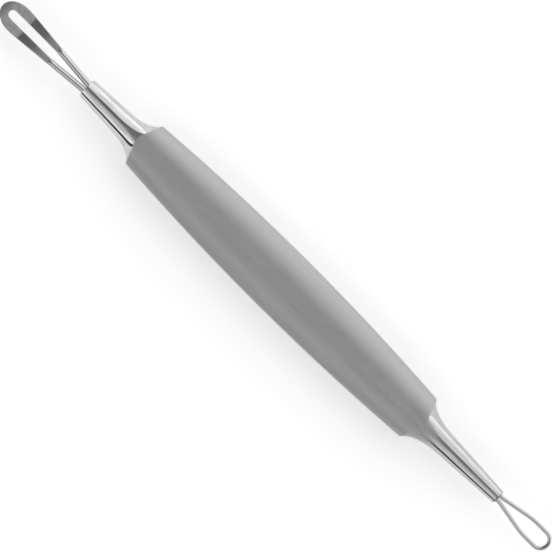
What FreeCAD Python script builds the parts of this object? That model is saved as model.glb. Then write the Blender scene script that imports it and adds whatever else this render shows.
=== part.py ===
import FreeCAD, Part
import math
import os
from FreeCAD import Vector

# A double-ended comedone extractor: a solid oval steel handle with a turned neck at each end,
# a wide loop of flattened wire brazed into one neck and a fine loop of round wire into the other.
# Millimetres and degrees. +X runs along the tool towards the fine loop, +Y across it and +Z up.
# The origin is below the middle of the tool's whole length, on the surface that it lies on.

# Handle body, an oval bar of even thickness whose sides bow out towards its middle
body_length = 60.4  # shoulder to shoulder
body_width = 10.4  # across the middle
shoulder_width = 8.2
body_thickness = 5.9
body_flat = 1.6  # width of the flat along the middle of each face
body_side_wall = 1.4  # height of the straight wall along each side
body_side_round = 0.9  # between a side wall and the faces

# Neck on the wide loop's side
wide_neck_length = 12.7  # shoulder to mouth
wide_neck_tip = 3.4  # diameter at the mouth
wide_neck_root = 4.7  # diameter of the same cone carried on to the shoulder
wide_flare_angle = 48.0  # slope at the shoulder's corner
wide_flare_rise = 1.3  # along the tool, from the hollow curve's steep end to where slope and cone would meet
wide_flare_run = 3.0  # and from there to the curve's other end, on the cone
wide_socket_depth = 8.0

# Neck on the fine loop's side
fine_neck_length = 17.7
fine_neck_tip = 2.4
fine_neck_root = 4.55
fine_flare_angle = 50.0
fine_flare_rise = 1.4
fine_flare_run = 4.0
fine_socket_depth = 9.0

# What both necks share
mouth_edge_round = 0.2
braze_gap = 0.06  # between a leg and the socket's wall
braze_recess = 0.3  # from the mouth down to the braze
braze_floor = 0.6  # braze behind the ends of the legs

# Wide loop, from its mouth outwards
wide_wire = 1.1  # diameter of its round legs
wide_leg_pitch = 1.2  # between the legs' centres in the socket
wide_leg_stub = 0.2  # straight length outside the mouth
wide_leg_bend = 6.0  # radius where the legs start to spread
wide_leg_spread = 2.4  # between the legs' centres where they have gone flat
wide_ramp_length = 1.2  # along a leg, in which the round wire goes flat
wide_ramp_thickness = 0.82  # at the end of the ramp
wide_ramp_edge = 0.18  # rounding of its section there
wide_loop_reach = 18.4  # mouth to tip
wide_taper_length = 5.7  # end of the ramp to full flat
wide_flat_length = 5.2  # full flat, up to the tip
wide_flat_thickness = 0.65
wide_flat_edge = 0.1  # rounding along the flat's edges
wide_flat_width = 4.48  # over both arms where the flat starts
wide_loop_width = 4.72  # over both arms at the widest
wide_nose_length = 3.3  # widest place to tip
wide_nose_band = 1.5  # width of the band at the tip
wide_opening = 1.42  # between the arms

# Fine loop, from its mouth outwards
fine_wire = 0.7
fine_leg_pitch = 0.84
fine_leg_stub = 0.2
fine_leg_bend = 4.0
fine_side_radius = 9.0  # where the legs turn parallel again
fine_side_straight = 2.1  # parallel length before the nose
fine_loop_width = 3.58
fine_loop_reach = 11.0

# Places along the tool
wide_reach = wide_neck_length + wide_loop_reach
fine_reach = fine_neck_length + fine_loop_reach
body_middle = (wide_reach - fine_reach) / 2
axis_height = body_thickness / 2

centre = Vector(0, 0, 0)
along = Vector(1, 0, 0)
across = Vector(0, 1, 0)
upward = Vector(0, 0, 1)


# One end of the handle. out is the way that it points along X.
def handle_end(out, length, tip, root, flare_angle, flare_rise, flare_run, socket_depth, leg_pitch, wire):
    shoulder = body_middle + out * body_length / 2
    return {
        "out": out,
        "shoulder": shoulder,
        "mouth": shoulder + out * length,
        "tip_radius": tip / 2,
        "root_radius": root / 2,
        "cone_angle": math.atan((root - tip) / 2 / length),
        "flare_angle": math.radians(flare_angle),
        "flare_rise": flare_rise,
        "flare_run": flare_run,
        "socket_depth": socket_depth,
        "socket_radius": (leg_pitch + wire) / 2 + braze_gap,
    }


wide_end = handle_end(
    -1, wide_neck_length, wide_neck_tip, wide_neck_root, wide_flare_angle, wide_flare_rise, wide_flare_run,
    wide_socket_depth, wide_leg_pitch, wide_wire)
fine_end = handle_end(
    1, fine_neck_length, fine_neck_tip, fine_neck_root, fine_flare_angle, fine_flare_rise, fine_flare_run,
    fine_socket_depth, fine_leg_pitch, fine_wire)


def line(start, end):
    return Part.LineSegment(start, end).toShape()


def arc(start, middle, end):
    return Part.Arc(start, middle, end).toShape()


# A curve that leaves start and reaches end pointing at the pole. A weight of the square root of a
# half makes it a quarter of an ellipse.
def bezier(start, pole, end, weight=1.0):
    curve = Part.BezierCurve()
    curve.setPoles([start, pole, end])
    curve.setWeight(2, weight)
    return curve.toShape()


def is_flat_along(size):
    return size < 1e-6


# Handle

def bowed_half_width(x):
    share = 2 * (x - body_middle) / body_length
    return (body_width - (body_width - shoulder_width) * share ** 2) / 2


# The bar's outline at x: a flat on each face, a wall along each side, and between them a face curve that
# touches its flat and a side round that touches its wall. The two curves touch each other.
def oval_section(x):
    half_width = bowed_half_width(x)
    half_thickness = body_thickness / 2
    half_flat = body_flat / 2
    half_wall = body_side_wall / 2
    reach = half_width - body_side_round - half_flat  # between the hubs of a side round and a face curve
    rise = half_thickness - half_wall
    face_radius = (reach ** 2 + rise ** 2 - body_side_round ** 2) / (2 * (rise - body_side_round))
    face_turn = math.atan2(reach, face_radius - rise)

    def on_face(side, face, turn):
        y = half_flat + face_radius * math.sin(turn)
        z = half_thickness - face_radius + face_radius * math.cos(turn)
        return Vector(x, side * y, face * z)

    def on_side(side, face, turn):
        y = half_width - body_side_round + body_side_round * math.sin(turn)
        z = half_wall + body_side_round * math.cos(turn)
        return Vector(x, side * y, face * z)

    edges = []
    side_middle = (face_turn + math.pi / 2) / 2
    for face in (1, -1):
        edges.append(line(on_face(1, face, 0), on_face(-1, face, 0)))
        for side in (1, -1):
            joint = on_face(side, face, face_turn)
            edges.append(arc(on_face(side, face, 0), on_face(side, face, face_turn / 2), joint))
            edges.append(arc(joint, on_side(side, face, side_middle), on_side(side, face, math.pi / 2)))
    for side in (1, -1):
        edges.append(line(on_side(side, 1, math.pi / 2), on_side(side, -1, math.pi / 2)))
    return Part.Wire(Part.__sortEdges__(edges))


def oval_bar(start, end, section_count=11):
    step = (end - start) / (section_count - 1)
    sections = [oval_section(start + index * step) for index in range(section_count)]
    return Part.makeLoft(sections, True, False)


# The hollow flare of one neck, as points above the axis: the end of its cone, the place where cone and
# slope would meet, the curve's steep end, and the place where the slope leaves the bar stock.
def flare_points(end, stock_radius):
    cone = math.tan(end["cone_angle"])
    slope = math.tan(end["flare_angle"])
    corner = shoulder_width / 2
    meet = (corner - end["root_radius"]) / (slope - cone)
    run_end = meet + end["flare_run"]
    rise_end = meet - end["flare_rise"]
    spots = [
        (run_end, end["root_radius"] - run_end * cone),
        (meet, corner - meet * slope),
        (rise_end, corner - rise_end * slope),
        ((corner - stock_radius) / slope, stock_radius),
    ]
    return [Vector(end["shoulder"] + end["out"] * out, 0, radius) for out, radius in spots]


def neck_cone(end, flare):
    length = abs(end["mouth"] - flare[0].x)
    cone = Part.makeCone(flare[0].z, end["tip_radius"], length, Vector(flare[0].x, 0, 0), along * end["out"])
    mouth_edge = [edge for edge in cone.Edges
                  if is_flat_along(edge.BoundBox.XLength)
                  and is_flat_along(abs(edge.BoundBox.XMin - end["mouth"]))]
    return cone.makeFillet(mouth_edge_round, mouth_edge)


# A cylinder on the axis, between two depths in from the mouth
def socket_fill(end, start, finish):
    base = Vector(end["mouth"] - end["out"] * start, 0, 0)
    return Part.makeCylinder(end["socket_radius"], finish - start, base, along * -end["out"])


def make_handle():
    stock_radius = body_width
    bar_overrun = 0.5  # the oval bar runs past the flares, and the turning cuts it there
    left = flare_points(wide_end, stock_radius)
    right = flare_points(fine_end, stock_radius)
    left_axis = Vector(left[0].x, 0, 0)
    right_axis = Vector(right[0].x, 0, 0)
    profile = Part.Wire([
        line(left_axis, left[0]),
        bezier(left[0], left[1], left[2]),
        line(left[2], left[3]),
        line(left[3], right[3]),
        line(right[3], right[2]),
        bezier(right[2], right[1], right[0]),
        line(right[0], right_axis),
        line(right_axis, left_axis),
    ])
    turned = Part.Face(profile).revolve(centre, along, 360)
    body = oval_bar(left[0].x - bar_overrun, right[0].x + bar_overrun).common(turned)
    handle = body.fuse([neck_cone(wide_end, left), neck_cone(fine_end, right)])
    sockets = [socket_fill(end, 0, end["socket_depth"]) for end in (wide_end, fine_end)]
    return handle.cut(sockets)


# Loops, drawn outwards from the mouth along +X

def swept_wire(path, diameter):
    start = path[0].firstVertex(True).Point
    section = Part.Wire(Part.makeCircle(diameter / 2, start, along))
    return Part.Wire(path).makePipeShell([section], True, True)


def with_mirror_image(half):
    return [half, half.mirror(centre, across)]


def place_loop(loop, end):
    if end["out"] < 0:
        loop.rotate(centre, upward, 180)
    loop.translate(Vector(end["mouth"], 0, 0))
    return loop.removeSplitter()


# One leg in the plane of the loop: straight out of its socket, round a bend and along a straight
# run. The run ends touching a circle of far_radius about far, or at far where that radius is zero.
# Returns the edges and the angle of the run.
def leg_edges(end, pitch, stub, bend, far, far_radius):
    inner_end = Vector(braze_floor - end["socket_depth"], pitch / 2, 0)
    bend_start = Vector(stub, pitch / 2, 0)
    hub = bend_start + across * bend
    offset = far - hub
    run_length = math.sqrt(offset.Length ** 2 - (bend + far_radius) ** 2)
    angle = math.atan2(offset.y, offset.x) + math.atan2(bend + far_radius, run_length)
    bend_middle = hub + Vector(math.sin(angle / 2), -math.cos(angle / 2), 0) * bend
    bend_end = hub + Vector(math.sin(angle), -math.cos(angle), 0) * bend
    run_end = far + Vector(-math.sin(angle), math.cos(angle), 0) * far_radius
    edges = [line(inner_end, bend_start), arc(bend_start, bend_middle, bend_end), line(bend_end, run_end)]
    return edges, angle


# The outer edge of one arm of the wide loop's flat, from the opening's side round to the tip
def flat_arm_edges(side):
    crease = wide_loop_reach - wide_flat_length
    widest = wide_loop_reach - wide_nose_length
    half_width = side * wide_loop_width / 2
    arm_in = Vector(crease, side * wide_opening / 2, 0)
    arm_out = Vector(crease, side * wide_flat_width / 2, 0)
    widest_spot = Vector(widest, half_width, 0)
    flank_pole = Vector((crease + widest) / 2, half_width, 0)
    nose_pole = Vector(wide_loop_reach, half_width, 0)
    tip = Vector(wide_loop_reach, 0, 0)
    return [
        line(arm_in, arm_out),
        bezier(arm_out, flank_pole, widest_spot),
        bezier(widest_spot, nose_pole, tip, math.sqrt(0.5)),
    ]


def flat_opening_edges():
    half_opening = wide_opening / 2
    crease = wide_loop_reach - wide_flat_length
    round_start = wide_loop_reach - wide_nose_band - half_opening
    upper = Vector(round_start, half_opening, 0)
    lower = Vector(round_start, -half_opening, 0)
    return [
        line(Vector(crease, -half_opening, 0), lower),
        arc(lower, Vector(round_start + half_opening, 0, 0), upper),
        line(upper, Vector(crease, half_opening, 0)),
    ]


def make_flat():
    outline = flat_arm_edges(1) + flat_arm_edges(-1)[::-1] + flat_opening_edges()
    flat = Part.Face(Part.Wire(outline)).extrude(upward * wide_flat_thickness)
    flat.translate(upward * (-wide_flat_thickness / 2))
    rims = [edge for edge in flat.Edges
            if is_flat_along(edge.BoundBox.ZLength) and not is_flat_along(edge.BoundBox.XLength)]
    most_rounding = 0.45 * wide_flat_thickness
    return flat.makeFillet(min(wide_flat_edge, most_rounding), rims)


# The section of a leg at the end of its ramp, square to the leg
def ramp_section(spot, forward):
    sideways = upward.cross(forward) * (wide_wire / 2 - wide_ramp_edge)
    height = upward * (wide_ramp_thickness / 2 - wide_ramp_edge)
    corners = [spot + sideways * side + height * face for side, face in ((1, 1), (-1, 1), (-1, -1), (1, -1))]
    core = Part.Face(Part.makePolygon(corners + corners[:1]))
    return core.makeOffset2D(wide_ramp_edge).OuterWire


def make_wide_loop():
    flat = make_flat()
    leg_end = Vector(wide_loop_reach - wide_flat_length - wide_taper_length, wide_leg_spread / 2, 0)
    edges, angle = leg_edges(wide_end, wide_leg_pitch, wide_leg_stub, wide_leg_bend, leg_end, 0)
    forward = Vector(math.cos(angle), math.sin(angle), 0)
    ramp_start = leg_end - forward * wide_ramp_length
    edges[2] = line(edges[2].firstVertex(True).Point, ramp_start)
    leg = swept_wire(edges, wide_wire)
    leg_circle = Part.Wire(Part.makeCircle(wide_wire / 2, ramp_start, forward))
    flat_section = ramp_section(leg_end, forward)
    arm_face = [face for face in flat.Faces
                if is_flat_along(face.BoundBox.XLength) and face.CenterOfMass.y > 0][0]
    ramp = Part.makeLoft([leg_circle, flat_section], True, True)
    taper = Part.makeLoft([flat_section, arm_face.OuterWire], True, True)
    loop = flat.fuse(with_mirror_image(leg) + with_mirror_image(ramp) + with_mirror_image(taper))
    return place_loop(loop, wide_end)


def make_fine_loop():
    nose_radius = (fine_loop_width - fine_wire) / 2
    nose_centre = Vector(fine_loop_reach - fine_wire / 2 - nose_radius, 0, 0)
    nose_start = nose_centre + across * nose_radius
    nose_middle = nose_centre + (along + across) * (nose_radius * math.sqrt(0.5))
    nose_tip = nose_centre + along * nose_radius
    side_end = nose_start - along * fine_side_straight
    # Both bends shrink together where the leg is too short for them
    rise = nose_radius - fine_leg_pitch / 2
    most_bending = 0.9 * ((side_end.x - fine_leg_stub) ** 2 + rise ** 2) / (2 * rise)
    ease = min(1, most_bending / (fine_leg_bend + fine_side_radius))
    side_radius = ease * fine_side_radius
    side_hub = side_end - across * side_radius
    edges, angle = leg_edges(
        fine_end, fine_leg_pitch, fine_leg_stub, ease * fine_leg_bend, side_hub, side_radius)
    side_start = side_hub + Vector(-math.sin(angle), math.cos(angle), 0) * side_radius
    side_middle = side_hub + Vector(-math.sin(angle / 2), math.cos(angle / 2), 0) * side_radius
    edges.append(arc(side_start, side_middle, side_end))
    edges.append(line(side_end, nose_start))
    edges.append(arc(nose_start, nose_middle, nose_tip))
    halves = with_mirror_image(swept_wire(edges, fine_wire))
    return place_loop(halves[0].fuse(halves[1]), fine_end)


# The braze lies below the mouth, fills the socket round the two legs and closes behind their ends
def make_braze(end, loop):
    return socket_fill(end, braze_recess, end["socket_depth"]).cut(loop)


wide_loop = make_wide_loop()
fine_loop = make_fine_loop()
pieces = {
    "handle": make_handle(),
    "wide_loop": wide_loop,
    "fine_loop": fine_loop,
    "wide_loop_braze": make_braze(wide_end, wide_loop),
    "fine_loop_braze": make_braze(fine_end, fine_loop),
}

os.makedirs("parts", exist_ok=True)
for node, shape in pieces.items():
    shape.translate(upward * axis_height)
    print(node, "solids", len(shape.Solids), "valid", shape.isValid(), "volume", round(shape.Volume, 3))
    shape.exportStep("parts/" + node + ".step")
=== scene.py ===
import bmesh
import bpy
import math
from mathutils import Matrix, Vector


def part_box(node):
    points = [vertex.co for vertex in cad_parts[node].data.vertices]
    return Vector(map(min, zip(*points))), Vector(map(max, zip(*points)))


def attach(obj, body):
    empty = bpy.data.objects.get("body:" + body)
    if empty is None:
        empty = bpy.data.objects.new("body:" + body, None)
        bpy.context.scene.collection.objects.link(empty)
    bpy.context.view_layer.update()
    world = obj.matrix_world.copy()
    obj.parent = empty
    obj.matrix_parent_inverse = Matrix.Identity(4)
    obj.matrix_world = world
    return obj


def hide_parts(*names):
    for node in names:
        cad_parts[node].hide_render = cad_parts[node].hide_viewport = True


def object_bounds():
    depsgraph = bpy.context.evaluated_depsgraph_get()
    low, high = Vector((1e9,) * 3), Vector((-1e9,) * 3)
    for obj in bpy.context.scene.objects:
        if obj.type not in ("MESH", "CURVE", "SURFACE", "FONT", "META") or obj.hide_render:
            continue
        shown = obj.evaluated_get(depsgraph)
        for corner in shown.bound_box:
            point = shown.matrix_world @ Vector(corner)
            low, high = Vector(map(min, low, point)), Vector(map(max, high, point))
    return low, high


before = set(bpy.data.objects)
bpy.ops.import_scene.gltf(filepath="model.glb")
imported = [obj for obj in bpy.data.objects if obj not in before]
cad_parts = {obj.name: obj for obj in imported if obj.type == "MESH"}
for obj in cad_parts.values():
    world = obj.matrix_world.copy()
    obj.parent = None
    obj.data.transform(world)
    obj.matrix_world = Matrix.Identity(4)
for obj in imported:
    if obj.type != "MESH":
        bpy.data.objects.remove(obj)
cadLow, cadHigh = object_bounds()
scene = bpy.context.scene
scene.view_settings.view_transform = "Standard"
mm = 0.001
print("frame loaded:", ", ".join(sorted(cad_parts)))


# Node fields: a Field is one socket, and sums or products of fields add their Math nodes
class Field:
    def __init__(self, tree, socket=None):
        self.tree = tree
        self.socket = socket

    def node(self, kind, settings=None, inputs=None, output=0):
        made = self.tree.nodes.new(kind)
        for name, value in (settings or {}).items():
            if name == "stops":
                fillRamp(made.color_ramp, value)
            else:
                setattr(made, name, value)
        for name, value in (inputs or {}).items():
            if isinstance(value, Field):
                self.tree.links.new(value.socket, made.inputs[name])
            else:
                made.inputs[name].default_value = value
        return Field(self.tree, made.outputs[output] if len(made.outputs) else None)

    def math(self, operation, first, second=0.0):
        return self.node("ShaderNodeMath", {"operation": operation}, {0: first, 1: second})

    def __add__(self, other):
        return self.math("ADD", self, other)

    def __sub__(self, other):
        return self.math("SUBTRACT", self, other)

    def __rsub__(self, other):
        return self.math("SUBTRACT", other, self)

    def __mul__(self, other):
        return self.math("MULTIPLY", self, other)

    __radd__ = __add__
    __rmul__ = __mul__


def fillRamp(ramp, stops):
    while len(ramp.elements) < len(stops):
        ramp.elements.new(1.0)
    for element, (place, level) in zip(ramp.elements, stops):
        element.position = place
        element.color = (level, level, level, 1.0)


def newMaterial(name):
    material = bpy.data.materials.new(name)
    material.use_nodes = True
    material.node_tree.nodes.clear()
    return material, Field(material.node_tree)


def smoothStep(field, value, low, high):  # 0 below low, 1 above high
    return field.node(
        "ShaderNodeMapRange", {"interpolation_type": "SMOOTHSTEP"},
        {"Value": value, "From Min": low, "From Max": high, "To Min": 0.0, "To Max": 1.0})


def mixColour(field, share, first, second):
    return field.node("ShaderNodeMix", {"data_type": "RGBA"}, {0: share, 6: first, 7: second}, 2)


def stretchedNoise(field, coords, stretch, detail=2.0):  # stretch is cells per metre along X, Y and Z
    placed = field.node("ShaderNodeMapping", None, {"Vector": coords, "Scale": stretch})
    return field.node("ShaderNodeTexNoise", None, {"Vector": placed, "Scale": 1.0, "Detail": detail})


def metal(field, colour, roughness, height, bumpDepth, bumpStrength):
    normal = field.node(
        "ShaderNodeBump", None, {"Strength": bumpStrength, "Distance": bumpDepth, "Height": height})
    surface = field.node(
        "ShaderNodeBsdfPrincipled", None,
        {"Base Color": colour, "Metallic": 1.0, "Roughness": roughness, "Normal": normal})
    field.node("ShaderNodeOutputMaterial", None, {"Surface": surface})


# Rings and sweeps

def startRing(bm, segments):
    turn = bm.verts.layers.float.new("turn")
    verts = bmesh.ops.create_circle(bm, segments=segments, radius=1.0)["verts"]
    for vert in verts:
        vert[turn] = math.atan2(vert.co.y, vert.co.x) + math.pi / segments
    return turn, list({edge for vert in verts for edge in vert.link_edges})


def nextRing(bm, edges):
    made = bmesh.ops.extrude_edge_only(bm, edges=edges)["geom"]
    verts = {item for item in made if isinstance(item, bmesh.types.BMVert)}
    return [item for item in made
            if isinstance(item, bmesh.types.BMEdge) and verts.issuperset(item.verts)]


def sweep(bm, segments, spots):  # each spot turns an angle round the ring into a place
    turn, edges = startRing(bm, segments)
    rings = []
    for spot in spots:
        if rings:
            edges = nextRing(bm, edges)
        rings.append(edges)
        for vert in {vert for edge in edges for vert in edge.verts}:
            vert.co = spot(vert[turn])
    for edges in (rings[0], rings[-1]):
        bmesh.ops.contextual_create(bm, geom=edges)
    bm.verts.layers.float.remove(turn)
    return rings


def finishPiece(bm, name, material, node):
    bmesh.ops.recalc_face_normals(bm, faces=bm.faces)
    mesh = bpy.data.meshes.new(name)
    bm.to_mesh(mesh)
    bm.free()
    mesh.shade_smooth()
    mesh.materials.append(material)
    piece = bpy.data.objects.new(name, mesh)
    scene.collection.objects.link(piece)
    piece.modifiers.new("evenShading", "WEIGHTED_NORMAL").keep_sharp = True
    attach(piece, "root")
    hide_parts(node)
    print(name, "built:", len(mesh.polygons), "faces")


# Handle: an oval bar whose two ends are turned into hollow flares and conical necks
handleLow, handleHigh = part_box("handle")
axisZ = (handleLow.z + handleHigh.z) / 2

handleBar = {
    "width": handleHigh.y - handleLow.y,
    "shoulderWidth": 8.2 * mm,
    "thickness": handleHigh.z - handleLow.z,
    "flat": 1.6 * mm,          # along the middle of each face
    "sideWall": 1.4 * mm,      # straight part of each side
    "sideRound": 0.9 * mm,
    "mouthRound": 0.2 * mm,
    "creaseRound": 0.05 * mm,
    "creaseSegments": 2,
    "creaseGuard": 0.0025,     # share of the body between a crease and the ring beside it
    "creaseHalvings": 30,      # of the stretch in which a crease is looked for
    "segments": 200,
    "bodySteps": 44,
    "coneSteps": 10,
    "flareSteps": 24,
    "roundSteps": 4,
}

wideNeck = {
    "out": -1,                 # the way it points along X
    "mouth": handleLow.x,
    "length": 12.7 * mm,
    "tip": 1.7 * mm,           # radii at the mouth and at the shoulder
    "root": 2.35 * mm,
    "slope": math.radians(48),  # of the flare at the shoulder
    "flareRise": 1.3 * mm,     # the hollow curve's ends, from where slope and cone would meet
    "flareRun": 3.0 * mm,
    "socket": 1.21 * mm,
    "socketDepth": 8.0 * mm,
}

fineNeck = {
    "out": 1,
    "mouth": handleHigh.x,
    "length": 17.7 * mm,
    "tip": 1.2 * mm,
    "root": 2.275 * mm,
    "slope": math.radians(50),
    "flareRise": 1.4 * mm,
    "flareRun": 4.0 * mm,
    "socket": 0.83 * mm,
    "socketDepth": 9.0 * mm,
}


def layOutNeck(neck):  # places measured out from the shoulder
    neck["shoulder"] = neck["mouth"] - neck["out"] * neck["length"]
    neck["corner"] = handleBar["shoulderWidth"] / 2
    neck["cone"] = (neck["root"] - neck["tip"]) / neck["length"]
    neck["meet"] = (neck["corner"] - neck["root"]) / (math.tan(neck["slope"]) - neck["cone"])
    neck["coneOut"] = neck["meet"] + neck["flareRun"]
    neck["curveOut"] = neck["meet"] - neck["flareRise"]
    neck["creases"] = {}


def turnedRadius(neck, out):
    coneRadius = neck["root"] - out * neck["cone"]
    slopeRadius = neck["corner"] - out * math.tan(neck["slope"])
    if out >= neck["coneOut"]:
        return coneRadius
    if out <= neck["curveOut"]:
        return slopeRadius
    # a parabola that touches the cone and the slope
    rise, run = neck["flareRise"], neck["flareRun"]
    bend = run - rise
    share = (math.sqrt(rise ** 2 + bend * (out - neck["curveOut"])) - rise) / bend
    meetRadius = neck["corner"] - neck["meet"] * math.tan(neck["slope"])
    startRadius = meetRadius + rise * math.tan(neck["slope"])
    endRadius = meetRadius - run * neck["cone"]
    return (1 - share) ** 2 * startRadius + 2 * share * (1 - share) * meetRadius + share ** 2 * endRadius


for neck in (wideNeck, fineNeck):
    layOutNeck(neck)
bodyMiddle = (wideNeck["shoulder"] + fineNeck["shoulder"]) / 2
bodyLength = fineNeck["shoulder"] - wideNeck["shoulder"]


def ovalRadius(x, angle):  # from the axis to the bar's skin
    share = 2 * (x - bodyMiddle) / bodyLength
    halfWidth = (handleBar["width"] - (handleBar["width"] - handleBar["shoulderWidth"]) * share ** 2) / 2
    halfThick, halfFlat = handleBar["thickness"] / 2, handleBar["flat"] / 2
    halfWall, side = handleBar["sideWall"] / 2, handleBar["sideRound"]
    reach, rise = halfWidth - side - halfFlat, halfThick - halfWall
    face = (reach ** 2 + rise ** 2 - side ** 2) / (2 * (rise - side))
    faceTurn = math.atan2(reach, face - rise)
    across, up = abs(math.cos(angle)), abs(math.sin(angle))
    if up * halfWidth <= across * halfWall:
        return halfWidth / across  # the side's wall
    if up * halfFlat >= across * halfThick:
        return halfThick / up  # the face's flat
    hubY, hubZ, curve = halfFlat, halfThick - face, face
    if up * (hubY + face * math.sin(faceTurn)) < across * (hubZ + face * math.cos(faceTurn)):
        hubY, hubZ, curve = halfWidth - side, halfWall, side
    toward = across * hubY + up * hubZ
    return toward + math.sqrt(toward ** 2 - hubY ** 2 - hubZ ** 2 + curve ** 2)


def creaseOut(neck, angle):  # where the flare breaks through the bar's skin
    if angle in neck["creases"]:
        return neck["creases"][angle]
    inner, outer = -neck["flareRise"], neck["coneOut"]
    for halving in range(handleBar["creaseHalvings"]):
        middle = (inner + outer) / 2
        if turnedRadius(neck, middle) > ovalRadius(neck["shoulder"] + neck["out"] * middle, angle):
            inner = middle
        else:
            outer = middle
    neck["creases"][angle] = inner
    return inner


def ovalAngle(turn):  # sets the bar's points closer together along its sides
    return math.atan2(handleBar["thickness"] * math.sin(turn), handleBar["width"] * math.cos(turn))


def roundAxis(x, radius, angle):
    return Vector((x, radius * math.cos(angle), axisZ + radius * math.sin(angle)))


def neckSpots(neck):  # from the socket's floor out to the mouth and back to the crease
    spots = []

    def addRing(out, radius):
        x = neck["shoulder"] + neck["out"] * out
        spots.append(lambda angle: roundAxis(x, radius, angle))

    def addFlareRing(share):
        def spot(angle):
            out = neck["coneOut"] + (creaseOut(neck, angle) - neck["coneOut"]) * share
            return roundAxis(neck["shoulder"] + neck["out"] * out, turnedRadius(neck, out), angle)
        spots.append(spot)

    edge = handleBar["mouthRound"]
    addRing(neck["length"] - neck["socketDepth"], neck["socket"])
    addRing(neck["length"], neck["socket"])
    for step in range(handleBar["roundSteps"] + 1):
        turn = math.pi / 2 * step / handleBar["roundSteps"]
        addRing(neck["length"] - edge + edge * math.cos(turn), neck["tip"] - edge + edge * math.sin(turn))
    coneStart = neck["length"] - edge
    for step in range(1, handleBar["coneSteps"] + 1):
        out = coneStart + (neck["coneOut"] - coneStart) * step / handleBar["coneSteps"]
        addRing(out, turnedRadius(neck, out))
    for step in range(1, handleBar["flareSteps"] + 1):
        addFlareRing(step / handleBar["flareSteps"])
    return spots


def bodySpot(share):
    def spot(angle):
        start = wideNeck["shoulder"] - creaseOut(wideNeck, angle)
        end = fineNeck["shoulder"] + creaseOut(fineNeck, angle)
        x = start + (end - start) * share
        return roundAxis(x, ovalRadius(x, angle), angle)
    return spot


def buildHandle(material):
    bm = bmesh.new()
    polish = bm.verts.layers.float.new("polish")
    steps, guard = handleBar["bodySteps"], handleBar["creaseGuard"]
    shares = [guard] + [step / steps for step in range(1, steps)] + [1 - guard]
    wideSpots, fineSpots = neckSpots(wideNeck), neckSpots(fineNeck)[::-1]
    spots = wideSpots + [bodySpot(share) for share in shares] + fineSpots
    turnSpots = [lambda turn, spot=spot: spot(ovalAngle(turn)) for spot in spots]
    rings = sweep(bm, handleBar["segments"], turnSpots)
    turnedRings = rings[:len(wideSpots) - 1] + rings[1 - len(fineSpots):]  # all but the two creases
    for edges in turnedRings:
        for edge in edges:
            for vert in edge.verts:
                vert[polish] = 1.0
    for edges in rings[:3] + rings[-3:]:  # the sockets' rims
        for edge in edges:
            edge.smooth = False
    creases = rings[len(wideSpots) - 1] + rings[-len(fineSpots)]
    bmesh.ops.bevel(
        bm, geom=creases, offset=handleBar["creaseRound"], offset_type="OFFSET", affect="EDGES",
        segments=handleBar["creaseSegments"], profile=0.5, material=-1)
    finishPiece(bm, "handleBar", material, "handle")


handleFinish = {
    "satinDark": (0.42, 0.42, 0.425, 1),
    "satinLight": (0.475, 0.475, 0.48, 1),
    "polishDark": (0.5, 0.5, 0.51, 1),
    "polishLight": (0.62, 0.62, 0.625, 1),
    "satinRoughness": 0.56,
    "polishRoughness": 0.08,
    "grain": (90.0, 7000.0, 7000.0),  # brush lines run along the bar
    "grainDepth": 0.006 * mm,
    "grainStrength": 0.6,
    "streaks": (420.0, 2000.0, 2000.0),
    "streakDetail": 3.0,
    "clouds": (120.0, 300.0, 300.0),
    "roughnessShares": (0.08, 0.1, 0.08),  # of grain, streaks and clouds
    "mottleShares": (0.4, 0.4, 0.2),  # of the same three, in the colour
    "mottleEnds": (0.34, 0.66),
    "buffingEnds": (0.28, 0.62),
    "fineDulling": 0.2,        # the fine neck is buffed less than the wide one
    "mouthShadeColour": (0.13, 0.125, 0.12, 1),  # painted shade round the wires where they enter the fine mouth
    "mouthShadeStrength": 0.85,
    "mouthShadeEnds": (fineNeck["mouth"] - 0.35 * mm, fineNeck["mouth"] - 0.1 * mm),
    "specks": (1500.0, 1500.0, 1500.0),  # break up the painted shade
    "speckEnds": (0.4, 0.55),
    "tongue": (fineNeck["shoulder"] + 1.0 * mm, fineNeck["shoulder"] + 7.0 * mm),  # satin fades out here
    "tongueLean": 0.25,        # its side moves across by this share of the length
    "tongueSide": (0.6 * mm, 1.5 * mm),
}


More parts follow.
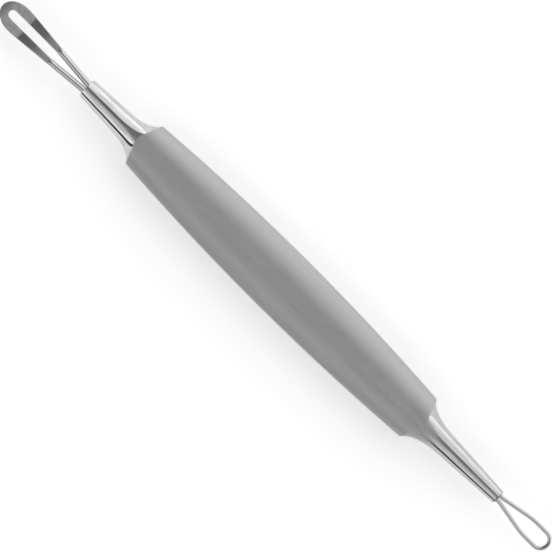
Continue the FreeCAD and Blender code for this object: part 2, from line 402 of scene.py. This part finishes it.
def makeHandleSteel():
    material, field = newMaterial("handleSteel")
    coords = field.node("ShaderNodeTexCoord", None, None, "Object")
    along, across = [field.node("ShaderNodeSeparateXYZ", None, {0: coords}, axis) for axis in "XY"]
    turned = field.node("ShaderNodeAttribute", {"attribute_name": "polish"}, None, "Fac")
    tongueStart, tongueEnd = handleFinish["tongue"]
    fineShare = smoothStep(field, along, wideNeck["shoulder"], fineNeck["shoulder"])
    leaning = across + handleFinish["tongueLean"] * (along - tongueStart)
    tongue = fineShare * (1 - smoothStep(field, along, tongueStart, tongueEnd))
    tongue = tongue * (1 - smoothStep(field, leaning, *handleFinish["tongueSide"]))
    polish = turned * (1 - tongue)
    grain = stretchedNoise(field, coords, handleFinish["grain"])
    streaks = stretchedNoise(field, coords, handleFinish["streaks"], handleFinish["streakDetail"])
    clouds = stretchedNoise(field, coords, handleFinish["clouds"])
    satin = 1 - polish
    grainShare, streakShare, cloudShare = handleFinish["roughnessShares"]
    roughness = handleFinish["polishRoughness"] + satin * (
        handleFinish["satinRoughness"] - handleFinish["polishRoughness"]
        + grainShare * (grain - 0.5) + streakShare * (streaks - 0.5) + cloudShare * (clouds - 0.5))
    grainShare, streakShare, cloudShare = handleFinish["mottleShares"]
    mottle = grainShare * grain + streakShare * streaks + cloudShare * clouds
    mottle = smoothStep(field, mottle, *handleFinish["mottleEnds"])
    brushed = mixColour(field, mottle, handleFinish["satinDark"], handleFinish["satinLight"])
    buffing = streaks - handleFinish["fineDulling"] * fineShare
    buffing = smoothStep(field, buffing, *handleFinish["buffingEnds"])
    buffed = mixColour(field, buffing, handleFinish["polishDark"], handleFinish["polishLight"])
    colour = mixColour(field, polish, brushed, buffed)
    # painted shade at the fine mouth, where the wires go into the socket, broken up by specks
    specks = smoothStep(
        field, stretchedNoise(field, coords, handleFinish["specks"]), *handleFinish["speckEnds"])
    mouthShade = smoothStep(field, along, *handleFinish["mouthShadeEnds"]) * specks
    colour = mixColour(field, handleFinish["mouthShadeStrength"] * mouthShade, colour, handleFinish["mouthShadeColour"])
    metal(field, colour, roughness, grain * satin,
          handleFinish["grainDepth"], handleFinish["grainStrength"])
    return material


buildHandle(makeHandleSteel())


# Loops: a section swept along a leg, round the nose and back along the other leg.
# A station is the loop's outer and inner edge, each out from the mouth and across,
# with the section's thickness there and the radius of its edges.

wideLoop = {
    "wire": 1.1 * mm,
    "pitch": 1.2 * mm,         # between the legs in the socket
    "stub": 0.2 * mm,
    "bend": 6.0 * mm,
    "spread": 2.4 * mm,        # between the legs where they have gone flat
    "reach": 18.4 * mm,
    "taper": 5.7 * mm,
    "ramp": 1.2 * mm,          # in which the round wire goes flat
    "rampThickness": 0.82 * mm,
    "rampEdge": 0.18 * mm,
    "flatLength": 5.2 * mm,
    "flatThickness": 0.65 * mm,
    "flatEdge": 0.1 * mm,
    "flatWidth": 4.48 * mm,
    "width": 4.72 * mm,
    "nose": 3.3 * mm,          # widest place to tip
    "noseBand": 1.5 * mm,
    "noseFall": 0.4,           # share of the thickness lost at the tip's outer edge
    "opening": 1.42 * mm,
    "inside": 7.4 * mm,        # leg length in the socket
    "segments": 64,
    "bendSteps": 4,
    "runSteps": 5,
    "rampSteps": 8,
    "taperSteps": 6,
    "armSteps": 10,
    "noseSteps": 24,
}

fineLoop = {
    "wire": 0.7 * mm,
    "pitch": 0.84 * mm,
    "stub": 0.2 * mm,
    "bend": 4.0 * mm,
    "sideRadius": 9.0 * mm,
    "sideStraight": 2.1 * mm,
    "width": 3.58 * mm,
    "reach": 11.0 * mm,
    "inside": 8.4 * mm,
    "segments": 40,
    "bendSteps": 4,
    "runSteps": 5,
    "sideSteps": 10,
    "noseSteps": 20,
}


def heading(angle):
    return Vector((math.cos(angle), math.sin(angle)))


def roundStation(loop, spot, angle):
    outward = heading(angle + math.pi / 2) * loop["wire"] / 2
    return spot + outward, spot - outward, loop["wire"], loop["wire"] / 2


def legStations(loop, far, farRadius):
    # straight out of the socket, round a bend and straight on until it touches a circle about far
    hub = Vector((loop["stub"], loop["pitch"] / 2 + loop["bend"]))
    offset = far - hub
    reach = loop["bend"] + farRadius
    run = math.sqrt(offset.length_squared - reach ** 2)
    angle = math.atan2(offset.y, offset.x) + math.atan2(reach, run)
    stations = [roundStation(loop, Vector((-loop["inside"], loop["pitch"] / 2)), 0.0)]
    for step in range(loop["bendSteps"] + 1):
        turn = angle * step / loop["bendSteps"]
        stations.append(roundStation(loop, hub + heading(turn - math.pi / 2) * loop["bend"], turn))
    start = hub + heading(angle - math.pi / 2) * loop["bend"]
    end = far + heading(angle + math.pi / 2) * farRadius
    for step in range(1, loop["runSteps"] + 1):
        stations.append(roundStation(loop, start.lerp(end, step / loop["runSteps"]), angle))
    return stations, angle


def mix(first, second, share):
    return first + (second - first) * share


def wideHalf():
    loop = wideLoop
    flatStart = loop["reach"] - loop["flatLength"]
    legEnd = Vector((flatStart - loop["taper"], loop["spread"] / 2))
    stations, angle = legStations(loop, legEnd, 0.0)
    stations.pop()
    for step in range(loop["rampSteps"] + 1):
        share = step / loop["rampSteps"]
        ease = share ** 2 * (3 - 2 * share)
        spot = legEnd - heading(angle) * loop["ramp"] * (1 - share)
        outer, inner, thickness, edge = roundStation(loop, spot, angle)
        stations.append((outer, inner, mix(thickness, loop["rampThickness"], ease),
                         mix(edge, loop["rampEdge"], ease)))
    outerStart, innerStart = stations[-1][:2]
    outerEnd = Vector((flatStart, loop["flatWidth"] / 2))
    innerEnd = Vector((flatStart, loop["opening"] / 2))
    for step in range(1, loop["taperSteps"] + 1):
        share = step / loop["taperSteps"]
        stations.append((outerStart.lerp(outerEnd, share), innerStart.lerp(innerEnd, share),
                         mix(loop["rampThickness"], loop["flatThickness"], share),
                         mix(loop["rampEdge"], loop["flatEdge"], share)))
    halfWidth, noseStart = loop["width"] / 2, loop["reach"] - loop["nose"]
    hubOut = loop["reach"] - loop["noseBand"] - loop["opening"] / 2
    for step in range(1, loop["armSteps"] + 1):
        out = mix(flatStart, hubOut, step / loop["armSteps"])
        if out < noseStart:
            left = (noseStart - out) / (noseStart - flatStart)
            side = halfWidth - (halfWidth - loop["flatWidth"] / 2) * left ** 2
        else:
            side = halfWidth * math.sqrt(1 - ((out - noseStart) / loop["nose"]) ** 2)
        stations.append((Vector((out, side)), Vector((out, loop["opening"] / 2)),
                         loop["flatThickness"], loop["flatEdge"]))
    hub = Vector((hubOut, 0.0))
    ahead = (hubOut - noseStart) / loop["nose"]
    for step in range(1, loop["noseSteps"] + 1):  # rays from the opening's hub out to the nose's ellipse
        ray = heading(math.pi / 2 * (1 - step / loop["noseSteps"]))
        wide = (ray.x / loop["nose"]) ** 2 + (ray.y / halfWidth) ** 2
        lean = ray.x / loop["nose"] * ahead
        reach = (-lean + math.sqrt(lean ** 2 + wide * (1 - ahead ** 2))) / wide
        stations.append((hub + ray * reach, hub + ray * loop["opening"] / 2,
                         loop["flatThickness"], loop["flatEdge"]))
    return stations


def fineHalf():
    loop = fineLoop
    noseRadius = (loop["width"] - loop["wire"]) / 2
    noseHub = Vector((loop["reach"] - loop["wire"] / 2 - noseRadius, 0.0))
    sideEnd = noseHub + Vector((-loop["sideStraight"], noseRadius))
    sideHub = sideEnd - Vector((0.0, loop["sideRadius"]))
    stations, angle = legStations(loop, sideHub, loop["sideRadius"])
    for step in range(1, loop["sideSteps"] + 1):
        turn = angle * (1 - step / loop["sideSteps"])
        spot = sideHub + heading(turn + math.pi / 2) * loop["sideRadius"]
        stations.append(roundStation(loop, spot, turn))
    for step in range(loop["noseSteps"] + 1):
        turn = -math.pi / 2 * step / loop["noseSteps"]
        stations.append(roundStation(loop, noseHub + heading(turn + math.pi / 2) * noseRadius, turn))
    return stations


def sectionSpot(neck, station, fall):
    outer, inner, thickness, edge = station
    middle, side = (outer + inner) / 2, (outer - inner).normalized()
    coreAcross, coreUp = (outer - inner).length / 2 - edge, thickness / 2 - edge
    lean = fall * max(0.0, side.x) ** 2

    def spot(angle):
        across = math.copysign(coreAcross, math.cos(angle)) + edge * math.cos(angle)
        up = math.copysign(coreUp, math.sin(angle)) + edge * math.sin(angle)
        share = 0.5 + 0.5 * across / (coreAcross + edge)  # 0 at the inner edge, 1 at the outer
        flat = middle + side * across
        height = up * (1 - lean * share ** 2)
        return Vector((neck["mouth"] + neck["out"] * flat.x, flat.y, axisZ + height))
    return spot


def buildLoop(name, half, loop, neck, material, node):
    otherHalf = [(Vector((outer.x, -outer.y)), Vector((inner.x, -inner.y)), thickness, edge)
                 for outer, inner, thickness, edge in half[-2::-1]]
    bm = bmesh.new()
    fall = loop.get("noseFall", 0.0)
    sweep(bm, loop["segments"], [sectionSpot(neck, station, fall) for station in half + otherHalf])
    finishPiece(bm, name, material, node)


loopFinish = {
    "satinDark": (0.45, 0.445, 0.445, 1),
    "satinLight": (0.54, 0.53, 0.53, 1),
    # painted shade: the satin darkens towards the wide loop's tip
    "tipShadeColour": (0.32, 0.315, 0.315, 1),
    "polishColour": (0.53, 0.53, 0.535, 1),
    "flatShadeColour": (0.36, 0.36, 0.365, 1),  # painted shade on the polished flat, darkest where it meets the satin
    "satinRoughness": 0.48,
    "flatRoughness": 0.24,     # of the polished flat beside the satin
    "rubbedRoughness": 0.26,   # added at the flat's other end, where it is rubbed dull
    "polishRoughness": 0.06,
    "grain": (2500.0, 9000.0, 9000.0),
    "grainDepth": 0.005 * mm,
    "grainStrength": 0.6,
    "grainRoughness": 0.1,
    "patches": (1300.0, 1300.0, 1300.0),
    "patchEnds": (0.35, 0.65),
    # places along the wide loop, each from the legs' side towards the tip
    "satinEnds": (wideNeck["mouth"] - 12.9 * mm, wideNeck["mouth"] - 13.5 * mm),
    "flatEnds": (wideNeck["mouth"] - 7.0 * mm, wideNeck["mouth"] - 10.0 * mm),
    "flatShadeEnds": (wideNeck["mouth"] - 7.6 * mm, wideNeck["mouth"] - 12.8 * mm),
    "rubbedFrom": (wideNeck["mouth"] - 6.7 * mm, wideNeck["mouth"] - 7.4 * mm),
    "rubbedTo": (wideNeck["mouth"] - 7.4 * mm, wideNeck["mouth"] - 10.7 * mm),
    "tipShadeStarts": (wideNeck["mouth"] - 16.7 * mm, wideNeck["mouth"] - 18.0 * mm),
}


def makeLoopSteel():
    material, field = newMaterial("loopSteel")
    coords = field.node("ShaderNodeTexCoord", None, None, "Object")
    along = field.node("ShaderNodeSeparateXYZ", None, {0: coords}, "X")
    polishStart, satinStart = loopFinish["satinEnds"]
    legEnd, flatStart = loopFinish["flatEnds"]
    bright, flatShadeFull = loopFinish["flatShadeEnds"]
    clear, tip = loopFinish["tipShadeStarts"]
    polish = smoothStep(field, along, satinStart, polishStart)
    flat = 1 - smoothStep(field, along, flatStart, legEnd)
    grain = stretchedNoise(field, coords, loopFinish["grain"])
    satin = 1 - polish
    clean, rubbedStart = loopFinish["rubbedFrom"]
    rubbedFull, rubbedEnd = loopFinish["rubbedTo"]
    rubbed = smoothStep(field, along, rubbedEnd, rubbedFull)
    rubbed = rubbed * (1 - smoothStep(field, along, rubbedStart, clean))
    polishRoughness = loopFinish["polishRoughness"] + loopFinish["rubbedRoughness"] * rubbed + flat * (
        loopFinish["flatRoughness"] - loopFinish["polishRoughness"])
    roughness = polishRoughness + satin * (
        loopFinish["satinRoughness"] - polishRoughness + loopFinish["grainRoughness"] * (grain - 0.5))
    patches = smoothStep(
        field, stretchedNoise(field, coords, loopFinish["patches"]), *loopFinish["patchEnds"])
    satinColour = mixColour(field, patches, loopFinish["satinDark"], loopFinish["satinLight"])
    # painted shade on the satin towards the nose's outer edge
    clearOfTipShade = smoothStep(field, along, tip, clear)
    satinColour = mixColour(field, clearOfTipShade, loopFinish["tipShadeColour"], satinColour)
    # painted shade along the polished flat, dark by the satin and fading to bright towards the legs
    clearOfFlatShade = smoothStep(field, along, flatShadeFull, bright)
    polishColour = mixColour(field, clearOfFlatShade, loopFinish["flatShadeColour"], loopFinish["polishColour"])
    colour = mixColour(field, polish, satinColour, polishColour)
    metal(field, colour, roughness, grain * satin,
          loopFinish["grainDepth"], loopFinish["grainStrength"])
    return material


loopSteel = makeLoopSteel()
buildLoop("wideLoop", wideHalf(), wideLoop, wideNeck, loopSteel, "wide_loop")
buildLoop("fineLoop", fineHalf(), fineLoop, fineNeck, loopSteel, "fine_loop")


# Braze in the two sockets: the solids stay, with a dull cast finish
brazeFinish = {
    "bright": (0.62, 0.57, 0.47, 1),
    "dull": (0.36, 0.31, 0.24, 1),
    "grain": (9000.0, 9000.0, 9000.0),
    "grainDetail": 4.0,
    "grainDepth": 0.02 * mm,
    "grainStrength": 0.5,
    "leastRoughness": 0.3,
    "grainRoughness": 0.3,
}


def makeBrazeAlloy():
    material, field = newMaterial("brazeAlloy")
    coords = field.node("ShaderNodeTexCoord", None, None, "Object")
    grain = stretchedNoise(field, coords, brazeFinish["grain"], brazeFinish["grainDetail"])
    colour = mixColour(field, grain, brazeFinish["dull"], brazeFinish["bright"])
    roughness = brazeFinish["leastRoughness"] + brazeFinish["grainRoughness"] * grain
    metal(field, colour, roughness, grain, brazeFinish["grainDepth"], brazeFinish["grainStrength"])
    return material


brazeAlloy = makeBrazeAlloy()
for node in ("wide_loop_braze", "fine_loop_braze"):
    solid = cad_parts[node]
    solid.data.materials.clear()
    solid.data.materials.append(brazeAlloy)
print("braze finished")


# Studio: a pale floor, a tent of light round the tool's axis and a camera straight above
floorSheet = {
    "size": 6.0,
    "drop": 0.02 * mm,         # below the tool's flat, so that the two don't share a plane
    "colour": (0.93, 0.93, 0.93, 1),
    "glow": 0.4,
}


def makeFloor():
    bm = bmesh.new()
    bmesh.ops.create_grid(bm, x_segments=1, y_segments=1, size=floorSheet["size"] / 2)
    bmesh.ops.translate(bm, verts=bm.verts, vec=(0, 0, cadLow.z - floorSheet["drop"]))
    mesh = bpy.data.meshes.new("floorSheet")
    bm.to_mesh(mesh)
    bm.free()
    floor = bpy.data.objects.new("floorSheet", mesh)
    scene.collection.objects.link(floor)
    material, field = newMaterial("paleFloor")
    seen = [field.node("ShaderNodeLightPath", None, None, ray)
            for ray in ("Is Camera Ray", "Is Glossy Ray", "Is Transmission Ray")]
    glow = field.node("ShaderNodeEmission", None, {
        "Color": floorSheet["colour"], "Strength": floorSheet["glow"] * (seen[0] + seen[1] + seen[2])})
    matt = field.node("ShaderNodeBsdfDiffuse", None, {"Color": floorSheet["colour"]})
    surface = field.node("ShaderNodeAddShader", None, {0: glow, 1: matt})
    field.node("ShaderNodeOutputMaterial", None, {"Surface": surface})
    mesh.materials.append(material)


tent = {
    # level of light by the angle round the tool's axis: 0 is overhead, above 0 is the -Y side
    "sides": [(-180, 1.0), (-95, 1.65), (-75, 1.6), (-58, 1.3), (-38, 1.04), (-24, 1.1), (-10, 1.27),
              (10, 0.58), (22, 0.74), (40, 0.92), (66, 1.01), (71, 0.06), (95, 0.06), (180, 0.92)],
    "topLevel": 1.9,
    "stripLevel": 0.46,        # a strip light low on the -Y side, on the wide loop's half
    "stripEdges": (44, 58, 66, 70),
    "stripFades": (0.15, -0.35),  # along: none, whole
    # a dark card overhead, which widens towards both ends of the tool
    "cardEdges": (-0.2, -0.12, 0.04, 0.38),  # across: starts, full, full, ends
    "cardShift": 0.08,         # towards +Y, on the wide loop's half
    "shiftEnds": (0.1, -0.1),  # along: no shift, whole shift
    "cardWidens": 2.3,
    "leastWidth": 0.001,
    "cardLevels": [(-1.0, 0.25), (-0.5, 0.23), (-0.24, 0.26), (-0.13, 0.16), (-0.06, 0.11),
                   (0.12, 0.26), (0.6, 0.48), (1.0, 0.52)],  # by the place along the tool
}


def makeTent():
    world = bpy.data.worlds.new("studioTent")
    scene.world = world
    world.use_nodes = True
    world.node_tree.nodes.clear()
    field = Field(world.node_tree)
    direction = field.node("ShaderNodeTexCoord", None, None, "Generated")
    along, across, up = [field.node("ShaderNodeSeparateXYZ", None, {0: direction}, axis) for axis in "XYZ"]
    turn = field.math("ARCTAN2", 0.0 - across, up)
    stops = [((angle + 180) / 360, level / tent["topLevel"]) for angle, level in tent["sides"]]
    sides = tent["topLevel"] * field.node(
        "ShaderNodeValToRGB", {"stops": stops}, {"Fac": turn * (0.5 / math.pi) + 0.5})
    start, full, last, end = [math.radians(angle) for angle in tent["stripEdges"]]
    strip = smoothStep(field, turn, start, full) * (1 - smoothStep(field, turn, last, end))
    none, whole = tent["stripFades"]
    sides = sides + tent["stripLevel"] * strip * smoothStep(field, 0.0 - along, -none, -whole)
    widened = up + tent["cardWidens"] * field.math("ABSOLUTE", along)
    place = field.math("DIVIDE", 0.0 - across, field.math("MAXIMUM", widened, tent["leastWidth"]))
    still, shifted = tent["shiftEnds"]
    place = place + tent["cardShift"] * smoothStep(field, 0.0 - along, -still, -shifted)
    start, full, last, end = tent["cardEdges"]
    card = smoothStep(field, place, start, full) * (1 - smoothStep(field, place, last, end))
    stops = [((dx + 1) / 2, level) for dx, level in tent["cardLevels"]]
    cardLevel = field.node("ShaderNodeValToRGB", {"stops": stops}, {"Fac": along * 0.5 + 0.5})
    level = sides + card * (cardLevel - sides)
    light = field.node("ShaderNodeBackground", None, {"Color": (1, 1, 1, 1), "Strength": level})
    field.node("ShaderNodeOutputWorld", None, {"Surface": light})


view = {
    "frameWidth": 86.25 * mm,  # across the picture, at the tool's axis
    "distance": 0.6,
    "roll": math.radians(44.85),
    "aim": (0.035 * mm, 0.026 * mm),
}


def makeCamera():
    data = bpy.data.cameras.new("camera")
    data.lens = data.sensor_width * view["distance"] / view["frameWidth"]
    camera = bpy.data.objects.new("camera", data)
    camera.location = (*view["aim"], axisZ + view["distance"])
    camera.rotation_euler = (0, 0, view["roll"])
    scene.collection.objects.link(camera)
    scene.camera = camera


makeFloor()
makeTent()
makeCamera()
print("studio ready")
